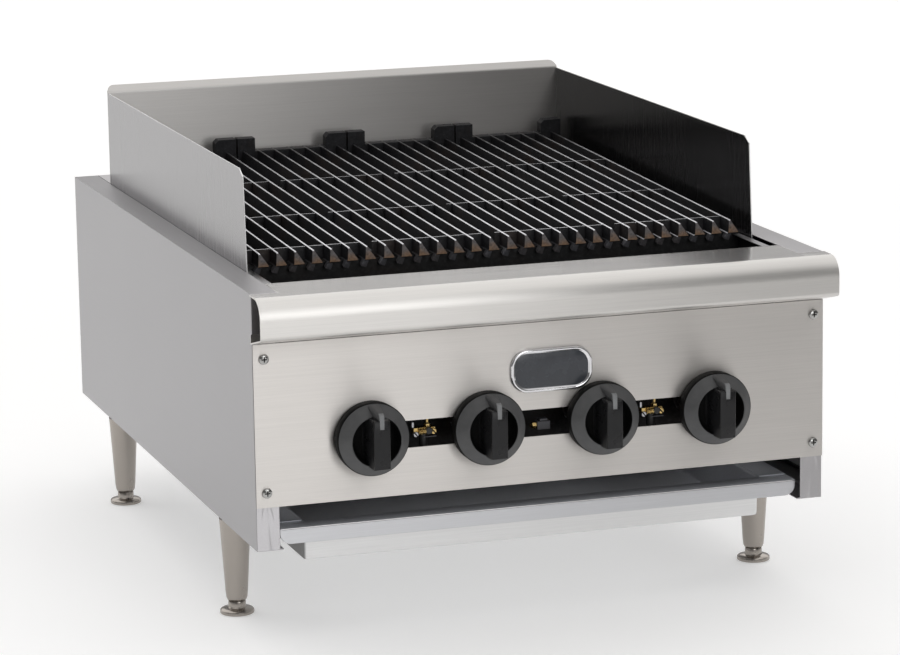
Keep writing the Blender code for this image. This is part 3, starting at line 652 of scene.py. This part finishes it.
def grate_mesh(foot):
    """Seven tapered blades, three cross ribs, a rear rail with two lugs and the hooks under the front.

    Materials: 0 iron, 1 worn with a painted highlight, 2 front, 3 paler iron as a painted highlight. foot is
    the material of the blades' left foot edge, which paints a highlight there.
    """
    bm = bmesh.new()
    section = [
        (-0.0011, -0.0005), (-0.0007, 0.0), (0.0009, 0.0), (0.0014, -0.0006), (0.0060, -0.0072),
        (0.0108, -0.0140), (0.0106, -0.0150), (-0.0024, -0.0150), (-0.0024, -0.0144), (-0.0016, -0.0138),
    ]
    sides = [1, 1, 0, 0, 0, 0, 0, foot, foot, 0]
    stations = [(0.0, 0.86), (0.0007, 1.0), (0.19, 1.0), (0.38, 1.0), (0.552, 1.0), (0.5715, 0.96)]
    for b in range(BLADE_COUNT):
        x = FIRST_BLADE + BLADE_PITCH * b
        rows = []
        for y, size in stations:
            rows.append([
                bm.verts.new((x + 0.002 + (px - 0.002) * size, y, -0.0075 + (pz + 0.0075) * size))
                for px, pz in section
            ])
        for first, second in zip(rows, rows[1:]):
            for k in range(len(section)):
                j = (k + 1) % len(section)
                bm.faces.new((first[k], first[j], second[j], second[k])).material_index = sides[k]
        bm.faces.new(rows[0][::-1]).material_index = 2
        bm.faces.new(rows[-1])
    left, right = FIRST_BLADE - 0.007, LAST_BLADE + BLADE_FOOT
    extra = []
    for y in (0.025, 0.185, 0.373):
        top = [(left, y - 0.0008), (LAST_BLADE, y - 0.0008), (LAST_BLADE, y + 0.0008), (left, y + 0.0008)]
        low = [(px, y + (py - y) * 2.1) for px, py in top]
        rib = loft([
            [Vector((px, py, -0.0008)) for px, py in top],
            [Vector((px, py, -0.0144)) for px, py in low],
        ])
        for face in rib.polygons:
            face.material_index = 1 if face.normal.z > 0.9 else 0
        extra.append(rib)
    lug_left, lug_right = left + 0.021, right - 0.025
    rear = [
        (left, -0.0144), (right, -0.0144), (right, 0.0150), (lug_right + 0.004, 0.0150), (lug_right, 0.0110),
        (lug_right, -0.0004), (lug_left, -0.0004), (lug_left, 0.0150), (left, 0.0150),
    ]
    extra.append(prism(rear, "Y", GRATE_LENGTH - 0.016, GRATE_LENGTH - 0.002))
    for b in range(BLADE_COUNT):
        x = FIRST_BLADE + BLADE_PITCH * b
        hook = loft([
            [Vector((x - 0.0060, 0.002, -0.0205)), Vector((x + 0.0000, 0.002, -0.0225)),
             Vector((x + 0.0030, 0.002, -0.0146)), Vector((x - 0.0020, 0.002, -0.0146))],
            [Vector((x - 0.0050, 0.010, -0.0195)), Vector((x + 0.0000, 0.010, -0.0205)),
             Vector((x + 0.0030, 0.010, -0.0146)), Vector((x - 0.0020, 0.010, -0.0146))],
        ])
        # The hooks take the paler iron: painted highlight.
        for face in hook.polygons:
            face.material_index = 3
        extra.append(hook)
    for mesh in extra:
        bm.from_mesh(mesh)
    return mesh_from(bm)


# The foot material paints a highlight on the blades' left foot edges.
grate_shapes = [grate_mesh(foot) for foot in (3, 3, 3, 1)]
for i in range(1, 5):
    low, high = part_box(f"grate_{i}")
    centre_x = low.x + 0.0654
    front_y = low.y - FRONT
    top_front = low.z + BLADE_DEPTH
    materials = [grate_iron, bright_edges, front_iron, pale_iron_highlight]
    grate = piece(f"grate_{i}_casting", grate_shapes[i - 1], materials, f"grate_{i}", [f"grate_{i}"],
                  (centre_x, front_y, top_front), (GRATE_TILT, 0, 0))
    soften(grate, 0.0003, 1)


# Legs and feet

leg_profile = [
    (0.0056, 0.0142), (0.0095, 0.0143), (0.0101, 0.0150), (0.0111, 0.0175), (0.0113, 0.0195),
    (0.0118, 0.0240), (0.0160, 0.0950), (0.0165, 0.1000), (0.0165, 0.1016), (0, 0.1016),
]
foot_profile = [
    (0, 0.0002), (0.0160, 0.0002), (0.0172, 0.0004), (0.0178, 0.0010), (0.0179, 0.0022),
    (0.0175, 0.0040), (0.0162, 0.0052), (0.0125, 0.0060), (0.0100, 0.0066), (0.0093, 0.0076),
    (0.0092, 0.0125), (0.0088, 0.0136), (0.0051, 0.0138), (0.0051, 0.0620), (0, 0.0640),
]
for corner in ("front_left", "front_right", "back_left", "back_right"):
    low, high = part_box(f"foot_{corner}")
    centre = ((low.x + high.x) / 2, (low.y + high.y) / 2 - FRONT, 0)
    piece(f"leg_{corner}_tube", turned(leg_profile, "Z"), leg_nickel, "body", [f"leg_{corner}"], centre)
    piece(f"foot_{corner}_pad", turned(foot_profile, "Z"), leg_nickel, f"foot_{corner}", [f"foot_{corner}"],
          centre)


# The drip tray

def tray_mesh():
    """A folded flange with a front lip, and a pan whose corners are rounded."""
    top, wall, half, front, back = 0.121, 0.0012, 0.279, 0.008, 0.764
    pan_half, pan_front, pan_back, bottom = 0.2475, 0.034, 0.752, 0.0795
    bm = bmesh.new()

    def ring(half_width, y0, y1, radius, z):
        outline = rounded_rectangle(half_width, (y1 - y0) / 2, radius, 5, (0, (y0 + y1) / 2))
        return [bm.verts.new((x, y, z)) for x, y in outline]

    def skin(a, b):
        for k in range(len(a)):
            j = (k + 1) % len(a)
            bm.faces.new((a[k], a[j], b[j], b[k]))

    def level(inset, z):
        return ring(pan_half - inset, pan_front + inset, pan_back - inset, 0.0035 - inset * 0.4, z)

    outer = ring(half, front, back, 0.0012, top)
    rim = [level(0.0000, top), level(0.0010, top - 0.0008), level(0.0013, top - 0.0022),
           level(0.0016, bottom + 0.0040), level(0.0026, bottom + 0.0022), level(0.0044, bottom + wall)]
    skin(outer, rim[0])
    for a, b in zip(rim, rim[1:]):
        skin(a, b)
    bm.faces.new(rim[-1])
    under = [ring(half, front, back, 0.0012, top - wall), level(-0.0004, top - wall),
             level(0.0000, bottom + 0.0030), level(0.0008, bottom + 0.0009), level(0.0028, bottom)]
    skin(outer, under[0])
    for a, b in zip(under, under[1:]):
        skin(a, b)
    bm.faces.new(under[-1])
    pan = mesh_from(bm)
    middle = (front + back) / 2
    # Inward and upward faces take the near-white copy: painted light.
    for face in pan.polygons:
        centre, normal = face.center, face.normal
        inward = centre.x * normal.x < -1e-5 or (centre.y - middle) * normal.y < -1e-5
        face.material_index = 1 if inward or normal.z > 0.5 else 0
    radius, foot = 0.0115, top - 0.016
    lip = [(half, top - 0.0004), (-half, top - 0.0004)]
    lip += arc((-half + radius, foot + radius), radius, 180, 270, 10)
    lip += arc((half - radius, foot + radius), radius, 270, 360, 10)
    return pan, prism(lip, "Y", front, front + wall)


pan_mesh, lip_mesh = tray_mesh()
piece("drip_tray_pan", pan_mesh, [pan_painted_light_and_shade, tray_inside_painted_light], "drip_tray", ["drip_tray"],
      angle=40)
piece("drip_tray_lip", lip_mesh, lip_steel, "drip_tray", bevel=0.0004)
for side, label in ((-1, "left"), (1, "right")):
    near, far, foot, top = side * 0.2495, side * 0.2785, 0.1211, 0.1219
    doubler = prism([(near, foot), (far, foot), (far, top), (near, top)], "Y", 0.034, 0.760)
    piece(f"drip_tray_doubler_{label}", doubler, tray_inside_painted_light, "drip_tray", bevel=0.0002)


# The nameplate blank

def plate(back, levels):
    """A rounded plate, drawn from its back forwards. A level is half width, half height, radius and depth."""
    return loft([
        [Vector((x, back - depth, z)) for x, z in rounded_rectangle(half_width, half_height, radius, 12)]
        for half_width, half_height, radius, depth in levels
    ])


def badge():
    low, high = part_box("badge_plate")
    centre = ((low.x + high.x) / 2, 0, (low.z + high.z) / 2)
    back = high.y - FRONT
    rim = plate(back, (
        (0.0440, 0.0225, 0.0190, 0.0), (0.0440, 0.0225, 0.0190, 0.0016), (0.0432, 0.0217, 0.0182, 0.0029),
        (0.0420, 0.0205, 0.0170, 0.0034), (0.0405, 0.0190, 0.0155, 0.0031), (0.0398, 0.0183, 0.0148, 0.0020),
    ))
    piece("badge_rim", rim, chrome, "body", ["badge_plate"], centre, angle=60)
    dome = plate(back, (
        (0.0397, 0.0182, 0.0147, 0.0019), (0.0370, 0.0160, 0.0125, 0.0026),
        (0.0300, 0.0110, 0.0080, 0.0031), (0.0180, 0.0050, 0.0030, 0.0033),
    ))
    piece("badge_field", dome, badge_field, "body", place=centre, angle=80)


badge()


# The panel screws' recesses, filled with near-black inserts as painted shade

def cross_recess():
    long_arm, short_arm = 0.00275, 0.00056
    outline = []
    for turn in range(4):
        way = Vector((math.cos(math.tau * turn / 4), math.sin(math.tau * turn / 4)))
        left = Vector((-way.y, way.x))
        outline += [tuple(way * long_arm - left * short_arm), tuple(way * long_arm + left * short_arm),
                    tuple(way * short_arm + left * short_arm)]
    return prism(outline, "Y", -0.0048, -0.0036)


for side in ("left", "right"):
    for level in ("lower", "upper"):
        low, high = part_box(f"panel_screw_{side}_{level}")
        piece(f"panel_screw_{side}_{level}_recess", cross_recess(), recess_painted_shade, "body",
              place=((low.x + high.x) / 2, 0, (low.z + high.z) / 2))


# Pilot valves, their tubes and the small fittings behind the slot

def slotted_screw(name, radius, place, tilt, material):
    """A small cheese head whose slot holds a near-black insert as painted shade."""
    reach, deep = 0.0024, 0.0007
    half_length, half_width = radius * 0.94, radius * 0.22
    profile = [(0, 0), (radius, 0), (radius, -reach * 0.7), (radius * 0.85, -reach), (0, -reach)]
    head = turned(profile, "Y", 24)
    slot = box((-half_length, -reach - 0.0001, -half_width), (half_length, -reach + deep, half_width))
    turn = (0, math.radians(tilt), 0)
    piece(name, head, material, "body", place=place, bevel=0.0002)
    piece(f"{name}_slot", slot, recess_painted_shade, "body", place=place, turn=turn)


def pilot(i):
    low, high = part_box(f"pilot_valve_{i}")
    x, z = (low.x + high.x) / 2, KNOB_Z - 0.002
    block = box((-0.0115, 0.0085, -0.0034), (0.0112, 0.0190, 0.0034))
    thread = [(0, -0.0072), (0.0026, -0.0072)]
    for turn in range(5):
        start = -0.0070 + turn * 0.0017
        thread += [(0.0033, start + 0.0004), (0.0033, start + 0.0009), (0.0026, start + 0.0014)]
    thread.append((0, thread[-1][1]))
    nut_profile = [
        (0, 0.0030), (0.0036, 0.0030), (0.0036, 0.0066), (0.0019, 0.0080), (0.0017, 0.0140), (0, 0.0140),
    ]
    nut = turned(nut_profile, "Z", 6)
    piece(f"pilot_{i}_block", joined(block, shifted(turned(thread, "X", 24), (0, 0.0080, 0)),
                                     shifted(nut, (0.0038, 0.0130, 0))),
          brass, "body", [f"pilot_valve_{i}"], (x, 0, z), bevel=0.0003)
    neck = turned([(0, -0.0210), (0.0045, -0.0210), (0.0045, -0.0034), (0, -0.0034)], "Z", 16)
    boss = turned([(0, 0.0085), (0.0040, 0.0085), (0.0040, 0.0058), (0.0032, 0.0050), (0, 0.0050)], "Y", 24)
    fitting = joined(shifted(neck, (0, 0.014, 0)), shifted(boss, (0.0040, 0, 0.0002)))
    piece(f"pilot_{i}_neck", fitting, pipe_black, "body", place=(x, 0, z), bevel=0.0002)
    slotted_screw(f"pilot_{i}_adjuster", 0.0032, (x + 0.0088, 0.0078, z - 0.0004), 48, brass)
    slotted_screw(f"pilot_{i}_clamp", 0.0029, (x - 0.0098, 0.0084, z - 0.0026), 52, aluminium)
    shelf = box((-0.0010, 0.0080, -0.0068), (0.0125, 0.0140, -0.0056))
    piece(f"pilot_{i}_shelf", shelf, port_grey, "body", place=(x, 0, z), bevel=0.0003)
    bracket = box((-0.0135, 0.0085, 0.0042), (-0.0112, 0.0130, 0.0098))
    piece(f"pilot_{i}_bracket", bracket, aluminium, "body", place=(x, 0, z), bevel=0.0003)
    rise = [
        (0.0038, 0.0130, 0.0135), (0.0038, 0.0135, 0.0300), (0.0038, 0.0160, 0.0500),
        (0.0038, 0.0220, 0.0620), (0.0038, 0.0330, 0.0660), (0.0038, 0.0480, 0.0660),
    ]
    piece(f"pilot_{i}_tube", tube(rise, 0.0016), aluminium, "body", place=(x, 0, z), angle=80)


def test_port():
    """A capped brass port on its dark block, halfway between the pilot valves."""
    x = sum(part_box(f"pilot_valve_{i}")[e].x for i in (1, 2) for e in (0, 1)) / 4
    z = KNOB_Z - 0.0075
    cap_profile = [
        (0, -0.0090), (0.0012, -0.0088), (0.0026, -0.0072),
        (0.0036, -0.0066), (0.0036, -0.0020), (0, -0.0020),
    ]
    cap = shifted(turned(cap_profile, "X", 6), (0, 0.0140, 0))
    piece("test_port_cap", cap, brass, "body", place=(x, 0, z), bevel=0.0003)
    block = box((-0.0018, 0.0100, -0.0045), (0.0120, 0.0190, 0.0042))
    step = box((0.0010, 0.0110, 0.0043), (0.0095, 0.0190, 0.0066))
    piece("test_port_block", joined(block, step), port_grey, "body", place=(x, 0, z), bevel=0.0004)


for i in (1, 2):
    pilot(i)
test_port()


def liner_flanges():
    """The lighter folded edges of the side liners, just inside the deck opening."""
    for side, label in ((-1, "left"), (1, "right")):
        outline = [(side * 0.2655, DECK - 0.0042), (side * 0.2735, DECK - 0.0042),
                   (side * 0.2735, DECK - 0.0030), (side * 0.2655, DECK - 0.0030)]
        piece(f"liner_flange_{label}", prism(outline, "Y", 0.054, 0.7195), deck_steel, "body", bevel=0.0003)


liner_flanges()


# Stage: floor, light and camera

def floor_material():
    """White, lit a little from below like a light table, and fading to grey in front."""
    g = Graph("floor_white", (0.80, 0.80, 0.80), 0.8)
    g.roughness_from(g.ranged(g.noise(g.place, 3.0, 2), 0.3, 0.7, 0.75, 0.85))
    ramp = g.colours(g.ranged(g.coordinate("Y"), -1.5, 8.5, 0, 1), (0.03, (0.0,) * 3), (0.09, (0.30,) * 3),
                     (0.25, (0.32,) * 3), (1.0, (0.40,) * 3))
    g.join(ramp, g.shader.inputs["Emission Color"])
    g.set("Emission Strength", 1.0)
    return g.material


bm = bmesh.new()
bmesh.ops.create_grid(bm, x_segments=1, y_segments=1, size=30)
floor = bpy.data.objects.new("floor", mesh_from(bm))
floor.data.materials.append(floor_material())
bpy.context.scene.collection.objects.link(floor)

def studio():
    """A world with a soft overhead glow above a dim horizon, a little brighter in front."""
    world = bpy.data.worlds.new("studio")
    bpy.context.scene.world = world
    world.use_nodes = True
    tree = world.node_tree

    def node(kind, **settings):
        made = tree.nodes.new(kind)
        for key, value in settings.items():
            setattr(made, key, value)
        return made

    def smooth(value, start, end, low, high):
        made = node("ShaderNodeMapRange", interpolation_type="SMOOTHSTEP")
        for socket, number in (("From Min", start), ("From Max", end), ("To Min", low), ("To Max", high)):
            made.inputs[socket].default_value = number
        tree.links.new(value, made.inputs["Value"])
        return made.outputs["Result"]

    way = node("ShaderNodeSeparateXYZ")
    tree.links.new(node("ShaderNodeTexCoord").outputs["Generated"], way.inputs[0])
    def plain(operation, first, second):
        made = node("ShaderNodeMath", operation=operation)
        tree.links.new(first, made.inputs[0])
        tree.links.new(second, made.inputs[1])
        return made.outputs[0]

    horizon = smooth(way.outputs["Y"], -0.5, 0.2, FRONT_GLOW, BACK_GLOW)
    overhead = smooth(way.outputs["Z"], *OVERHEAD_RANGE, 0, OVERHEAD_GLOW)
    behind = smooth(way.outputs["Y"], *BACKDROP_SIDE, 0, BACKDROP_GLOW)
    backdrop = plain("MULTIPLY", behind, smooth(way.outputs["Z"], *BACKDROP_RANGE, 0, 1))
    total = plain("ADD", horizon, plain("MAXIMUM", overhead, backdrop))
    background = tree.nodes["Background"]
    background.inputs["Color"].default_value = (1.0, 0.99, 0.98, 1)
    tree.links.new(total, background.inputs["Strength"])


def softbox(name, place, aim, size, radiance, tint=(1, 1, 1)):
    light = bpy.data.lights.new(name, "AREA")
    light.shape = "RECTANGLE"
    light.size, light.size_y = size
    light.energy = radiance * math.pi * size[0] * size[1]
    light.color = tint
    lamp = bpy.data.objects.new(name, light)
    bpy.context.scene.collection.objects.link(lamp)
    lamp.location = place
    lamp.rotation_euler = (Vector(aim) - Vector(place)).to_track_quat("-Z", "Y").to_euler()
    lamp.visible_camera = False


# Lights

FRONT_GLOW, BACK_GLOW = 0.14, 0.06
OVERHEAD_GLOW, OVERHEAD_RANGE = 1.1, (0.47, 0.95)
BACKDROP_GLOW, BACKDROP_RANGE, BACKDROP_SIDE = 1.25, (0.14, 0.38), (0.1, 0.5)
studio()
softbox("front", (0.175, -2.4, 1.10), (0.175, 0, 1.10), (1.0, 1.5), 2.1)

camera_data = bpy.data.cameras.new("camera")
camera_data.sensor_width = 36
camera_data.lens = 146.9
camera_data.clip_start, camera_data.clip_end = 0.1, 60
camera = bpy.data.objects.new("camera", camera_data)
bpy.context.scene.collection.objects.link(camera)
azimuth, elevation, roll = (math.radians(v) for v in (-18.08, 11.48, -0.89))
forward = Vector((-math.sin(azimuth) * math.cos(elevation), math.cos(azimuth) * math.cos(elevation),
                  -math.sin(elevation)))
right = forward.cross(Vector((0, 0, 1))).normalized()
up = right.cross(forward)
right, up = right * math.cos(roll) + up * math.sin(roll), up * math.cos(roll) - right * math.sin(roll)
camera.matrix_world = Matrix.Translation(Vector((-1.2162, FRONT - 3.4192, 1.0446))) @ Matrix(
    (right, up, -forward)).transposed().to_4x4()
bpy.context.scene.camera = camera

bpy.context.scene.view_settings.view_transform = "Standard"
